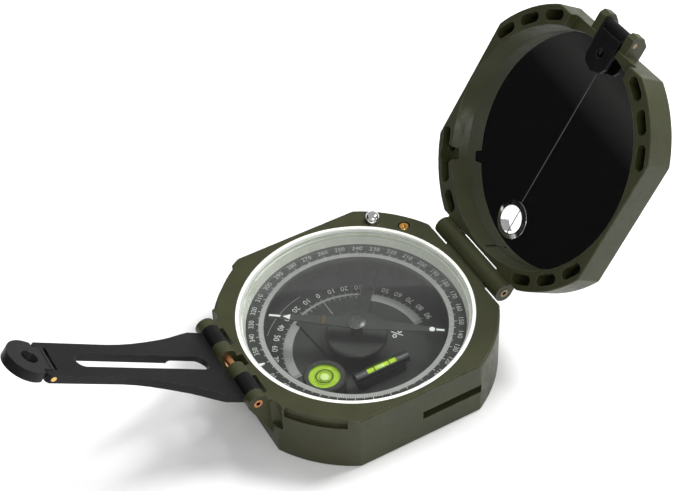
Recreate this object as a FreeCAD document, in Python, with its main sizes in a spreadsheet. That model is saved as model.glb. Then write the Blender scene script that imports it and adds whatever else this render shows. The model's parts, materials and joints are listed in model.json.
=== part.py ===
import FreeCAD, Part
import math
import os
import re

import Sketcher
from FreeCAD import Placement, Rotation, Vector

# A folding pocket sighting compass. Millimetres.
# Z is up and Z = 0 is the underside of the case. The dial axis is the Z axis.
# +Y points to the lid hinge, -Y to the sighting arm, +X is to the right of both.
# The lid and the arm are drawn shut or flat about their own hinge and then turned open.

# ---------------------------------------------------------------- driving sizes
SIZES = {
    # shared
    "edge_bevel": 0.4, "corner_round": 1.6, "fit_gap": 0.05, "run_gap": 0.1, "side_gap": 0.2,
    "cut_over": 1.0,
    # case
    "case_width": 70.0, "case_length": 70.0, "case_height": 18.5, "corner_swell": 4.7,
    "land_width": 1.8, "floor_wall": 1.0, "recess_depth": 1.4, "recess_radius": 17.0,
    "ledge_drop": 2.3, "bearing_wall": 1.0,
    "slot_from": 0.5, "slot_to": 19.0, "slot_low": 7.5, "slot_tall": 3.0, "slot_deep": 2.6,
    "grip_tall": 2.7, "grip_deep": 1.1, "grip_from": 32.6, "grip_to": 58.0,
    "scoop_radius": 3.0, "scoop_deep": 8.5,
    # hinges of the case
    "hinge_out": 3.3, "knuckle_radius": 2.8, "knuckle_half": 16.0, "knuckle_back": 0.7,
    "knuckle_root": 0.8, "knuckle_room": 0.6, "lid_middle_half": 9.0, "web_deep": 4.0,
    "rib_out": 2.66, "rib_drop": 0.84, "rib_foot": 4.6, "rib_sink": 0.1, "middle_deep": 5.5,
    "middle_back": 1.0, "pin_radius": 1.25, "pin_hollow": 0.6, "pin_proud": 0.1,
    # bezel, glass and graduated ring
    "bezel_depth": 5.0, "bezel_sink": 0.1, "bezel_lip": 1.0, "bezel_wall": 1.9,
    "bezel_slope": 0.6, "glass_depth": 1.9, "glass_thick": 0.8, "gasket_thick": 0.3,
    "gasket_wide": 0.5, "ring_depth": 5.8, "ring_thick": 0.6, "ring_inner": 25.6,
    "ring_slack": 0.2, "index_long": 2.2, "index_wide": 2.0,
    # dial plate and its screws
    "plate_thick": 0.6, "plate_bore": 3.2, "plate_screws": 3.0, "plate_screw_turn": 60.0,
    "screw_inset": 1.7, "screw_head": 1.3, "screw_shank": 0.7, "screw_long": 1.2,
    "screw_head_tall": 0.3,
    # declination screw and the teeth
    "wheel_teeth": 109.0, "pinion_teeth": 10.0, "tooth_tall": 0.6, "tooth_over": 0.2,
    "root_gap": 0.05,
    "space_root": 0.55, "space_tip": 1.15, "pinion_space_tip": 1.3, "screw_turn": 127.5,
    "brass_head": 1.55, "brass_edge": 0.25, "brass_sink": 0.15, "brass_well": 1.8,
    "brass_well_deep": 1.2, "brass_shank": 1.1, "socket_radius": 0.65, "socket_deep": 0.7,
    "driver_long": 1.16, "driver_half": 0.2, "driver_deep": 0.45,
    # needle lift
    "lift_turn": 142.7, "lift_radius": 35.9, "lift_travel": 1.0, "button_radius": 2.1,
    "button_proud": 2.5, "button_round": 1.55, "button_well_deep": 2.7, "button_rest": 0.4,
    "stem_radius": 1.0, "lever_half": 1.5, "lever_thick": 0.5,
    "lever_end": 1.4, "lever_room": 0.5, "lever_under": 0.8, "way_from": 27.0,
    "fork_reach": 2.6, "fulcrum_radius": 22.0, "fulcrum_pin": 0.15, "pin_ease": 0.02,
    "bracket_half": 1.1, "cheek_out": 0.6, "cheek_over": 0.2, "collar_radius": 2.6,
    "collar_thick": 0.6, "sleeve_radius": 1.7, "flange_radius": 8.8, "flange_thick": 1.3,
    "flange_drop": 3.7, "flange_bevel": 0.4,
    # clinometer
    "shaft_radius": 2.0, "shaft_foot": 1.3, "shaft_low": 0.2, "foot_gap": 0.15,
    "post_radius": 0.9, "vernier_thick": 0.4, "hub_radius": 8.8, "fan_radius": 19.8,
    "fan_half": 33.0, "skirt_x": 16.6, "skirt_y": 10.3, "carrier_radius": 24.0,
    "carrier_from": 78.0, "carrier_to": 32.0, "tube_x": 13.6, "tube_up": 4.3,
    "tube_radius": 1.6, "tube_half_long": 8.3, "tube_window": 4.65, "window_half": 1.05,
    "holder_half_long": 7.2, "holder_half_wide": 1.3, "vial_radius": 1.15,
    "vial_half_long": 7.4, "cup_turn": 59.1, "cup_place": 17.9, "cup_radius": 5.9,
    "cup_tall": 5.9, "cup_floor": 4.0, "cup_edge": 0.4, "spirit_radius": 4.4,
    "lens_thick": 0.5, "lens_sink": 0.3, "rear_long": 13.0, "rear_half": 2.2,
    "rear_thick": 0.6, "rear_boss": 3.6, "nut_radius": 2.4, "nut_tall": 0.35,
    # needle
    "needle_turn": 232.0, "needle_long": 24.8, "needle_half": 2.0, "needle_tip_half": 0.7,
    "needle_thick": 0.25, "needle_under_glass": 3.5, "cap_radius": 2.6, "cap_tall": 0.6,
    "cap_crown": 1.56, "cap_wall": 0.27, "jewel_wall": 0.35, "jewel_hole": 0.2,
    "jewel_lip": 0.02, "jewel_tall": 1.35, "weight_place": 9.2, "weight_half": 0.5,
    "weight_wide": 1.5, "weight_thick": 0.15,
    "mark_thick": 0.1, "mark_half": 0.3, "mark_end": 0.2, "north_bar_from": 3.4,
    "arrow_tip": 4.1, "arrow_back": 6.1, "arrow_half": 0.95, "south_bar_from": 2.4,
    "south_dot": 0.8, "south_dot_place": 3.6,
    # lid
    "lid_open": 121.7, "lid_gap": 0.2, "lid_tall": 9.3, "lid_rim": 1.1, "lid_taper": 0.8,
    "lid_bevel": 0.8, "rim_bevel": 0.25, "mirror_depth": 6.1, "mirror_thick": 1.5,
    "pad_thick": 0.3, "pad_inset": 0.4, "rim_slot_radius": 36.6, "rim_slot_half": 2.0,
    "rim_slot_wide": 1.5, "rim_slot_deep": 5.5, "rim_slot_step": 14.6, "window_place": 24.0,
    "window_radius": 4.1, "window_wall": 0.5, "window_lip": 1.0, "window_lip_tall": 0.35,
    "window_rim": 0.25, "lip_edge": 0.1, "line_half": 0.12, "line_thick": 0.06,
    "line_inset": 1.5, "line_gap": 0.3, "notch_half": 0.9, "notch_deep": 1.0,
    "notch_inner": 1.5, "notch_low": 2.0, "button_pocket": 2.8, "button_over": 0.4,
    "gate_deep": 4.0, "gate_side": 0.5, "gate_over": 0.2, "sight_over": 0.3,
    # front sight on the lid
    "sight_out": 38.4, "sight_up": 5.0, "lug_inner": 4.9, "lug_outer": 7.6, "lug_reach": 2.6,
    "lug_low": 3.2, "lug_base_low": 7.2, "lug_nose": 1.2, "lug_back": 2.6, "lug_inset": 0.2,
    "lug_slope": 2.0, "block_reach": 0.2, "sight_barrel": 1.7, "sight_half": 4.3,
    "sight_long": 12.8, "sight_thick": 1.2, "sight_drop": 2.2, "sight_from": 1.3,
    "sight_straight": 3.0, "sight_shoulder": 1.2, "sight_step": 1.1, "sight_tip_drop": 0.5,
    "neck_long": 2.4, "neck_over": 0.3, "sight_hole": 1.3, "sight_hole_place": 7.1,
    "sight_pin": 0.8, "pin_short": 0.1,
    # sighting arm and peep
    "arm_raise": 32.6, "arm_lift": 0.4, "arm_long": 58.0, "arm_half": 6.35,
    "arm_root_half": 12.8, "arm_root": 3.2, "arm_shoulder": 0.5, "arm_flare_from": 7.5,
    "arm_flare_long": 28.5, "arm_thick": 2.4, "arm_slot_from": 7.4, "arm_slot_to": 48.0,
    "arm_slot_half": 2.5, "arm_mid_half": 2.2, "arm_mid_to": 6.3, "arm_end_from": 13.2,
    "arm_nose": 0.8, "relief_long": 6.0, "relief_wide": 1.2, "relief_deep": 0.9,
    "fork_deep": 3.4, "fork_half": 4.2, "peep_place": 56.2, "peep_raise": 7.0,
    "peep_pin": 0.75, "peep_barrel": 1.3, "peep_out": 5.0, "peep_radius": 6.2,
    "peep_thick": 2.9, "peep_hole": 1.1, "peep_sink": 2.3, "peep_straight": 1.16,
    "peep_from": 2.5, "tongue_lap": 0.5,
}

doc = FreeCAD.newDocument("SightingCompass")
sheet = doc.addObject("Spreadsheet::Sheet", "Dims")
for row, (alias, size) in enumerate(SIZES.items(), start=1):
    sheet.set("A%d" % row, alias)
    sheet.set("B%d" % row, str(size))
    sheet.setAlias("B%d" % row, alias)
doc.recompute()

# ---------------------------------------------------------------- shared places
# The dial plate and the clinometer stand on the case's floor, the ring and the needle hang
# from its top, and radii follow from its width.
TOP = "case_height"
CORNER = "(case_width/2 + corner_swell)"
BORE = "(case_width/2 - land_width)"
BEZEL_LOW = "(case_height - bezel_depth)"
GLASS_LOW = "(case_height - glass_depth)"
GLASS_TOP = "(case_height - glass_depth + glass_thick)"
RING_LOW = "(case_height - ring_depth)"
RING_SEAT = "(case_height - ring_depth - run_gap)"
FLOOR = "(recess_depth + floor_wall)"
PLATE_TOP = "(recess_depth + floor_wall + plate_thick)"
PLATE_RADIUS = "(case_width/2 - land_width - ledge_drop)"
VERNIER_LOW = "(recess_depth + floor_wall + plate_thick + run_gap)"
VERNIER_TOP = "(%s + vernier_thick)" % VERNIER_LOW
LEVER_LOW = "(%s + run_gap)" % VERNIER_TOP
LEVER_TOP = "(%s + lever_thick)" % LEVER_LOW
LEVER_MID = "(%s + lever_thick/2)" % LEVER_LOW
FORK = "(post_radius + run_gap)"
NEEDLE_LOW = "(case_height - glass_depth - needle_under_glass)"
NEEDLE_TOP = "(case_height - glass_depth - needle_under_glass + needle_thick)"
COLLAR_TOP = "(%s - jewel_tall - run_gap)" % NEEDLE_LOW
FLANGE_TOP = "(%s - flange_drop)" % NEEDLE_LOW
LID_HINGE_Y = "(case_length/2 + hinge_out)"
LID_HINGE_Z = "(case_height + lid_gap/2)"
ARM_HINGE_Z = "(case_height + arm_lift)"
LID_RIM = "(lid_gap/2)"
LID_BACK = "(lid_gap/2 + lid_tall)"
MIRROR_FACE = "(lid_gap/2 + mirror_depth)"
MIRROR_BACK = "(lid_gap/2 + mirror_depth + mirror_thick)"
LID_BORE = "(case_width/2 - lid_rim)"
MIRROR_RADIUS = "(case_width/2 - lid_rim - lid_taper)"
PITCH_RING = "(case_width/2 - land_width - ring_slack - tooth_tall/2)"
MODULE = "(2*%s/wheel_teeth)" % PITCH_RING
PITCH_PINION = "(%s*pinion_teeth/2)" % MODULE
SCREW_PLACE = "(%s + %s)" % (PITCH_RING, PITCH_PINION)
LID_END = "(case_length + hinge_out)"
SIGHT_Y = "(case_length/2 + hinge_out + sight_out)"
PIN_BORE = "(pin_radius + fit_gap)"
PLATE_SCREWS = "(lift_turn + plate_screw_turn)"
BORE_REACH = "(knuckle_half + cut_over)"


# ---------------------------------------------------------------- drawing helpers
def named(text):
    """The text with every size pointed at its cell of the sheet."""
    return re.sub(r"[a-z_]*[a-z]", lambda word: "Dims." + word.group() if word.group() in SIZES
                  else word.group(), str(text))


def value(text):
    """What an expression comes to, for the first drawing of a sketch."""
    return float(sheet.evalExpression(named(text)))


def bind(thing, prop, text):
    thing.setExpression(prop, named(text))


def new_body(label):
    body = doc.addObject("PartDesign::Body", label)
    body.Label = label
    body.AllowCompound = True
    return body


def place(thing, x="0", y="0", z="0", turn="0", axis=Vector(1, 0, 0)):
    thing.Placement = Placement(Vector(0, 0, 0), Rotation(axis, 10))
    bind(thing, "Placement.Base.x", x)
    bind(thing, "Placement.Base.y", y)
    bind(thing, "Placement.Base.z", z)
    bind(thing, "Placement.Rotation.Angle", turn)


def open_sketch(body, name, plane, at="0", across="0", along="0", turn="0"):
    sketch = body.newObject("Sketcher::SketchObject", name)
    origin = [item for item in body.Origin.OriginFeatures if item.Role == plane][0]
    sketch.AttachmentSupport = [(origin, "")]
    sketch.MapMode = "FlatFace"
    sketch.AttachmentOffset = Placement(Vector(0, 0, 0), Rotation(Vector(0, 0, 1), 10))
    bind(sketch, "AttachmentOffset.Base.x", across)
    bind(sketch, "AttachmentOffset.Base.y", along)
    bind(sketch, "AttachmentOffset.Base.z", at)
    bind(sketch, "AttachmentOffset.Rotation.Angle", turn)
    sketch.Visibility = False
    return sketch


def hold_point(sketch, line, end, x, y):
    """Keep one point of the sketch at x and y from its origin."""
    for kind, axis, text in (("DistanceX", -2, x), ("DistanceY", -1, y)):
        size = value(text)
        if abs(size) < 1e-6:
            sketch.addConstraint(Sketcher.Constraint("PointOnObject", line, end, axis))
        else:
            index = sketch.addConstraint(Sketcher.Constraint(kind, line, end, size))
            bind(sketch, "Constraints[%d]" % index, text)


def hold_radius(sketch, curve, text):
    index = sketch.addConstraint(Sketcher.Constraint("Radius", curve, value(text)))
    bind(sketch, "Constraints[%d]" % index, text)


def circle(radius, x="0", y="0"):
    def draw(sketch):
        centre = Vector(value(x), value(y), 0)
        curve = sketch.addGeometry(Part.Circle(centre, Vector(0, 0, 1), value(radius)))
        hold_point(sketch, curve, 3, x, y)
        hold_radius(sketch, curve, radius)
    return draw


def polygon(points):
    def draw(sketch):
        spots = [Vector(value(x), value(y), 0) for x, y in points]
        count = len(spots)
        lines = [sketch.addGeometry(Part.LineSegment(spots[i], spots[(i + 1) % count]))
                 for i in range(count)]
        for i in range(count):
            following = lines[(i + 1) % count]
            sketch.addConstraint(Sketcher.Constraint("Coincident", lines[i], 2, following, 1))
        for line, (x, y) in zip(lines, points):
            hold_point(sketch, line, 1, x, y)
    return draw


def box(x_low, x_high, y_low, y_high):
    return polygon([(x_low, y_low), (x_high, y_low), (x_high, y_high), (x_low, y_high)])


def slot(x, y_low, y_high, radius):
    """A slot along Y with round ends, whose end centres are at y_low and y_high."""
    def draw(sketch):
        low = Vector(value(x), value(y_low), 0)
        high = Vector(value(x), value(y_high), 0)
        wide = Vector(value(radius), 0, 0)
        up = Vector(0, 0, 1)
        half = math.pi
        top = sketch.addGeometry(Part.ArcOfCircle(Part.Circle(high, up, wide.x), 0, half))
        foot = sketch.addGeometry(Part.ArcOfCircle(Part.Circle(low, up, wide.x), half, 2 * half))
        left = sketch.addGeometry(Part.LineSegment(high - wide, low - wide))
        right = sketch.addGeometry(Part.LineSegment(low + wide, high + wide))
        for first, end, second, start in ((top, 2, left, 1), (left, 2, foot, 1),
                                          (foot, 2, right, 1), (right, 2, top, 1)):
            sketch.addConstraint(Sketcher.Constraint("Tangent", first, end, second, start))
        hold_point(sketch, top, 3, x, y_high)
        hold_point(sketch, foot, 3, x, y_low)
        hold_radius(sketch, top, radius)
    return draw


def outline(half_x, half_y, radius):
    """Four flats joined by four arcs about the middle."""
    def draw(sketch):
        wide, deep, round_ = value(half_x), value(half_y), value(radius)
        side = (round_ ** 2 - wide ** 2) ** 0.5
        front = (round_ ** 2 - deep ** 2) ** 0.5
        corners = [(wide, -side), (wide, side), (front, deep), (-front, deep),
                   (-wide, side), (-wide, -side), (-front, -deep), (front, -deep)]
        spots = [Vector(x, y, 0) for x, y in corners]
        middle = Part.Circle(Vector(0, 0, 0), Vector(0, 0, 1), round_)
        edges = []
        for i in range(0, 8, 2):
            start, turn, finish = spots[i], spots[i + 1], spots[(i + 2) % 8]
            edges.append(sketch.addGeometry(Part.LineSegment(start, turn)))
            arc = Part.ArcOfCircle(middle, middle.parameter(turn), middle.parameter(finish))
            edges.append(sketch.addGeometry(arc))
        for i in range(8):
            following = edges[(i + 1) % 8]
            sketch.addConstraint(Sketcher.Constraint("Coincident", edges[i], 2, following, 1))
        for arc in edges[1::2]:
            sketch.addConstraint(Sketcher.Constraint("Coincident", arc, 3, -1, 1))
        hold_radius(sketch, edges[1], radius)
        for arc in edges[3::2]:
            sketch.addConstraint(Sketcher.Constraint("Equal", edges[1], arc))
        for line, kind in zip(edges[0::2], ("Vertical", "Horizontal", "Vertical", "Horizontal")):
            sketch.addConstraint(Sketcher.Constraint(kind, line))
        for line, kind, text in ((edges[0], "DistanceX", half_x), (edges[2], "DistanceY", half_y),
                                 (edges[4], "DistanceX", "-" + half_x),
                                 (edges[6], "DistanceY", "-" + half_y)):
            index = sketch.addConstraint(Sketcher.Constraint(kind, line, 1, value(text)))
            bind(sketch, "Constraints[%d]" % index, text)
    return draw


def pad(body, name, draw, low, high, plane="XY_Plane", **where):
    """Add a drawn outline between two levels along the plane's normal."""
    sketch = open_sketch(body, name + "_sketch", plane, at=low, **where)
    draw(sketch)
    feature = body.newObject("PartDesign::Pad", name)
    feature.Profile = sketch
    bind(feature, "Length", "(%s) - (%s)" % (high, low))
    body.Tip = feature
    return feature


def pocket(body, name, draw, low, high, plane="XY_Plane", **where):
    """Cut a drawn outline away between two levels along the plane's normal."""
    sketch = open_sketch(body, name + "_sketch", plane, at=high, **where)
    draw(sketch)
    feature = body.newObject("PartDesign::Pocket", name)
    feature.Profile = sketch
    bind(feature, "Length", "(%s) - (%s)" % (high, low))
    body.Tip = feature
    return feature


def turned(body, name, points, cut=False, **where):
    """Turn a profile of (radius, height) points about the Z line through the sketch."""
    sketch = open_sketch(body, name + "_sketch", "XZ_Plane", **where)
    polygon(points)(sketch)
    feature = body.newObject("PartDesign::Groove" if cut else "PartDesign::Revolution", name)
    feature.Profile = sketch
    feature.ReferenceAxis = (sketch, ["V_Axis"])
    feature.Angle = 360
    body.Tip = feature
    return feature


def ring_of(body, name, feature, count):
    pattern = body.newObject("PartDesign::PolarPattern", name)
    pattern.Originals = [feature]
    pattern.Axis = (feature.Profile[0], ["N_Axis"])
    pattern.Angle = 360
    bind(pattern, "Occurrences", count)
    body.Tip = pattern
    return pattern


def dress(body, kind, name, prop, size, wanted):
    """Fillet or chamfer the edges of the tip that the test picks."""
    doc.recompute()
    base = body.Tip
    edges = ["Edge%d" % number for number, edge in enumerate(base.Shape.Edges, start=1)
             if wanted(edge)]
    feature = body.newObject("PartDesign::" + kind, name)
    feature.Base = (base, edges)
    bind(feature, prop, size)
    body.Tip = feature
    return feature


def upright(edge):
    ends = [point.Point for point in edge.Vertexes]
    return len(ends) == 2 and abs(ends[0].z - ends[1].z) > 1 and (ends[0] - ends[1]).cross(
        Vector(0, 0, 1)).Length < 1e-6


def level(height):
    def wanted(edge):
        return abs(edge.BoundBox.ZMin - height) < 1e-6 and abs(edge.BoundBox.ZMax - height) < 1e-6
    return wanted


def cylinder(name, radius, low, high, x="0", y="0", sweep="360", start="0"):
    """A round Part solid along Z, or the slice of one between two angles."""
    solid = doc.addObject("Part::Cylinder", name)
    bind(solid, "Radius", radius)
    bind(solid, "Height", "(%s) - (%s)" % (high, low))
    bind(solid, "Angle", sweep)
    place(solid, x, y, low, start, Vector(0, 0, 1))
    return solid


def fuse(label, solids):
    whole = doc.addObject("Part::MultiFuse", label)
    whole.Label = label
    whole.Shapes = solids
    return whole


def cut(label, base, tool):
    whole = doc.addObject("Part::Cut", label)
    whole.Label = label
    whole.Base = base
    whole.Tool = tool
    return whole


# ---------------------------------------------------------------- case
def make_case():
    body = new_body("case_body")
    half_x, half_y = "(case_width/2)", "(case_length/2)"
    pad(body, "shell", outline(half_x, half_y, CORNER), "0", TOP)
    dress(body, "Fillet", "corners", "Radius", "corner_round", upright)
    dress(body, "Chamfer", "top_bevel", "Size", "edge_bevel", level(value(TOP)))
    dress(body, "Chamfer", "foot_bevel", "Size", "edge_bevel", level(0))
    pocket(body, "bezel_bore", circle(BORE), RING_SEAT, TOP)
    pocket(body, "bowl", circle(PLATE_RADIUS + " + fit_gap"), FLOOR, RING_SEAT)
    pad(body, "bearing", circle("shaft_radius + bearing_wall"), "recess_depth", PLATE_TOP)
    pocket(body, "rear_recess", circle("recess_radius"), "0", "recess_depth")
    pocket(body, "bearing_bore", circle("shaft_radius + fit_gap"), "0", PLATE_TOP)
    # screw holes of the dial plate
    hole = circle("screw_shank", x=PLATE_RADIUS + " - screw_inset")
    screws = pocket(body, "screw_hole", hole, FLOOR + " - screw_long", FLOOR, turn=PLATE_SCREWS)
    ring_of(body, "screw_holes", screws, "plate_screws")
    # mounting slots in the two side flats
    for name, low, high in (("slot_right", "case_width/2 - slot_deep", "case_width/2 + cut_over"),
                            ("slot_left", "-case_width/2 - cut_over",
                             "-case_width/2 + slot_deep")):
        shape = box("slot_from", "slot_to", "slot_low", "slot_low + slot_tall")
        pocket(body, name, shape, low, high, plane="YZ_Plane")
    make_case_hinges(body)
    make_case_wells(body)
    return body


def make_case_hinges(body):
    reach = "(case_length/2 - knuckle_root)"
    # the lid's middle knuckle with the web that carries it
    lid_web = polygon([(reach, TOP + " - web_deep"), (LID_HINGE_Y, LID_HINGE_Z + " - knuckle_radius"),
                       (LID_HINGE_Y, LID_HINGE_Z), (reach, TOP)])
    pad(body, "lid_web", lid_web, "-lid_middle_half", "lid_middle_half", plane="YZ_Plane")
    round_ = circle("knuckle_radius", x=LID_HINGE_Y, y=LID_HINGE_Z)
    pad(body, "lid_knuckle", round_, "-lid_middle_half", "lid_middle_half", plane="YZ_Plane")
    # the arm's four knuckles on tapered ribs
    spans = (("arm_end_from", "knuckle_half"), ("arm_mid_half", "arm_mid_to"),
             ("-arm_mid_to", "-arm_mid_half"), ("-knuckle_half", "-arm_end_from"))
    rib = polygon([("-" + reach, TOP), ("-" + LID_HINGE_Y, ARM_HINGE_Z),
                   ("-%s - rib_out" % LID_HINGE_Y, ARM_HINGE_Z + " - rib_drop"),
                   ("-case_length/2 + rib_sink", "rib_foot"), ("-" + reach, "rib_foot")])
    round_ = circle("knuckle_radius", x="-" + LID_HINGE_Y, y=ARM_HINGE_Z)
    for number, (low, high) in enumerate(spans):
        pad(body, "arm_rib_%d" % number, rib, low, high, plane="YZ_Plane")
        pad(body, "arm_knuckle_%d" % number, round_, low, high, plane="YZ_Plane")
    # room behind the arm's own knuckles, and the notch in the middle
    rooms = (("arm_mid_to", "arm_end_from"), ("-arm_end_from", "-arm_mid_to"))
    for number, (low, high) in enumerate(rooms):
        shape = box("-case_length/2 - cut_over", "-case_length/2 + knuckle_back",
                    TOP + " - knuckle_radius - knuckle_room", TOP + " + cut_over")
        pocket(body, "arm_room_%d" % number, shape, low, high, plane="YZ_Plane")
    shape = box("-case_length/2 - cut_over", "-case_length/2 + middle_back",
                TOP + " - middle_deep", TOP + " + cut_over")
    pocket(body, "middle_notch", shape, "-arm_mid_half", "arm_mid_half", plane="YZ_Plane")
    # pin bores
    lid_bore = circle(PIN_BORE, x=LID_HINGE_Y, y=LID_HINGE_Z)
    pocket(body, "lid_pin_bore", lid_bore, "-" + BORE_REACH, BORE_REACH, plane="YZ_Plane")
    arm_bore = circle(PIN_BORE, x="-" + LID_HINGE_Y, y=ARM_HINGE_Z)
    pocket(body, "arm_pin_bore", arm_bore, "-" + BORE_REACH, BORE_REACH, plane="YZ_Plane")


def make_case_wells(body):
    # thumb scoops beside the arm hinge
    for name, sign in (("scoop_right", ""), ("scoop_left", "-")):
        place_x = sign + "(knuckle_half + scoop_radius)"
        scoop = circle("scoop_radius", x=place_x, y="-case_length/2 - scoop_radius/2")
        pocket(body, name, scoop, TOP + " - scoop_deep", TOP + " + cut_over")
    # pinion pocket, open to the ring, and the well of its screw
    gear_room = "(%s + tooth_tall/2 + run_gap)" % PITCH_PINION
    pocket(body, "pinion_room", circle(gear_room, x=SCREW_PLACE), RING_SEAT, BEZEL_LOW,
           turn="screw_turn")
    gap = box(PLATE_RADIUS, SCREW_PLACE, "-" + gear_room, gear_room)
    pocket(body, "pinion_way", gap, RING_SEAT, BEZEL_LOW, turn="screw_turn")
    shank = circle("brass_shank + fit_gap", x=SCREW_PLACE)
    pocket(body, "brass_hole", shank, RING_LOW, TOP, turn="screw_turn")
    well = circle("brass_well", x=SCREW_PLACE)
    pocket(body, "brass_well_cut", well, TOP + " - brass_well_deep", TOP, turn="screw_turn")
    # needle lift: the button's well, its stem hole and the lever's channel
    well = circle("button_radius + run_gap", x="lift_radius")
    pocket(body, "button_well", well, TOP + " - button_well_deep", TOP, turn="lift_turn")
    stem = circle("stem_radius + run_gap", x="lift_radius")
    pocket(body, "stem_hole", stem, LEVER_LOW, TOP, turn="lift_turn")
    channel = box(PLATE_RADIUS + " - cut_over", "lift_radius + lever_end + lever_room",
                  "-lever_half - lever_room", "lever_half + lever_room")
    pocket(body, "lever_channel", channel, LEVER_LOW + " - lift_travel - lever_under",
           LEVER_TOP + " + run_gap", turn="lift_turn")


def make_grips(case):
    """Cut the two finger grips in the corner arcs beside the arm hinge."""
    grips = []
    for name, start in (("grip_right", "-grip_to"), ("grip_left", "180 + grip_from")):
        outer = cylinder(name + "_outer", CORNER + " + cut_over", TOP + " - grip_tall",
                         TOP + " + cut_over", sweep="grip_to - grip_from", start=start)
        inner = cylinder(name + "_inner", CORNER + " - grip_deep",
                         TOP + " - grip_tall - cut_over", TOP + " + 2*cut_over")
        grips.append(cut(name, outer, inner))
    case.Label = "case_blank"
    return cut("case_body", case, fuse("grips", grips))


# ---------------------------------------------------------------- bezel, glass, ring, plate
def make_bezel():
    body = new_body("bezel_ring")
    outer = BORE + " - fit_gap"
    inner = "(%s - bezel_wall)" % BORE
    seat = "(%s - bezel_lip)" % BORE
    turned(body, "rim", [(outer, BEZEL_LOW), (outer, TOP + " - bezel_sink"),
                         (seat, TOP + " - bezel_sink"), (seat, GLASS_LOW), (inner, GLASS_LOW),
                         (inner + " - bezel_slope", BEZEL_LOW)])
    index = new_body("lubber_index")
    tip = "-(%s - bezel_wall - bezel_slope - index_long)" % BORE
    back = "-(%s - bezel_wall)" % BORE
    shape = polygon([("0", tip), ("-index_wide/2", back), ("index_wide/2", back)])
    pad(index, "tab", shape, RING_LOW + " + ring_thick + run_gap/2", BEZEL_LOW)
    glass = new_body("crystal")
    pad(glass, "disc", circle(seat + " - fit_gap"), GLASS_LOW, GLASS_TOP)
    gasket = new_body("crystal_gasket")
    outer = seat + " - fit_gap"
    turned(gasket, "hoop", [(outer, GLASS_TOP), (outer, GLASS_TOP + " + gasket_thick"),
                            (outer + " - gasket_wide", GLASS_TOP + " + gasket_thick"),
                            (outer + " - gasket_wide", GLASS_TOP)])


def tooth_space(root, tip, wide):
    """The gap between two teeth, on the X axis of its sketch."""
    low, high = "%s*space_root" % MODULE, "%s*%s" % (MODULE, wide)
    over = tip + " + tooth_over"
    return polygon([(root, "-" + low), (over, "-" + high), (over, high), (root, low)])


def make_graduated_ring():
    body = new_body("graduated_ring")
    tip = PITCH_RING + " + tooth_tall/2"
    root = PITCH_RING + " - tooth_tall/2 - root_gap"
    pad(body, "disc", circle(tip), RING_LOW, RING_LOW + " + ring_thick")
    pocket(body, "eye", circle("ring_inner"), RING_LOW, RING_LOW + " + ring_thick")
    space = tooth_space(root, tip, "space_tip")
    gap = pocket(body, "tooth_space", space, RING_LOW, RING_LOW + " + ring_thick",
                 turn="screw_turn + 180/wheel_teeth")
    ring_of(body, "teeth", gap, "wheel_teeth")


def make_pinion():
    body = new_body("pinion_gear")
    place(body, x=SCREW_PLACE + "*cos(screw_turn)", y=SCREW_PLACE + "*sin(screw_turn)")
    tip = PITCH_PINION + " + tooth_tall/2"
    root = PITCH_PINION + " - tooth_tall/2 - root_gap"
    top = BEZEL_LOW + " - run_gap"
    pad(body, "blank", circle(tip), RING_LOW, top)
    space = tooth_space(root, tip, "pinion_space_tip")
    gap = pocket(body, "tooth_space", space, RING_LOW, top, turn="screw_turn")
    ring_of(body, "teeth", gap, "pinion_teeth")
    pocket(body, "bore", circle("brass_shank - fit_gap"), RING_LOW, top)
    screw = new_body("declination_screw")
    place(screw, x=SCREW_PLACE + "*cos(screw_turn)", y=SCREW_PLACE + "*sin(screw_turn)")
    head_low, head_top = TOP + " - brass_well_deep + run_gap", TOP + " - brass_sink"
    shank = "brass_shank - fit_gap - pin_ease"
    turned(screw, "spindle", [("0", RING_LOW), (shank, RING_LOW), (shank, head_low),
                              ("brass_head", head_low), ("brass_head", head_top + " - brass_edge"),
                              ("brass_head - brass_edge", head_top), ("0", head_top)])
    pocket(screw, "socket", circle("socket_radius"), head_top + " - socket_deep", head_top)
    driver = box("-driver_long", "driver_long", "-driver_half", "driver_half")
    pocket(screw, "driver_slot", driver, head_top + " - driver_deep", head_top)


def make_dial_plate():
    body = new_body("dial_plate")
    pad(body, "disc", circle(PLATE_RADIUS), FLOOR, PLATE_TOP)
    pocket(body, "eye", circle("plate_bore"), FLOOR, PLATE_TOP)
    spot = PLATE_RADIUS + " - screw_inset"
    hole = circle("screw_shank + run_gap", x=spot)
    holes = pocket(body, "screw_hole", hole, FLOOR, PLATE_TOP, turn=PLATE_SCREWS)
    ring_of(body, "screw_holes", holes, "plate_screws")
    way = box("way_from", PLATE_RADIUS + " + cut_over",
              "-lever_half - lever_room", "lever_half + lever_room")
    pocket(body, "lever_way", way, FLOOR, PLATE_TOP, turn="lift_turn")
    screws = new_body("dial_screws")
    shank = pad(screws, "shank", circle("screw_shank - fit_gap", x=spot),
                FLOOR + " - screw_long + run_gap", PLATE_TOP, turn=PLATE_SCREWS)
    ring_of(screws, "shanks", shank, "plate_screws")
    head = pad(screws, "head", circle("screw_head", x=spot), PLATE_TOP,
               PLATE_TOP + " + screw_head_tall", turn=PLATE_SCREWS)
    ring_of(screws, "heads", head, "plate_screws")


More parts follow.
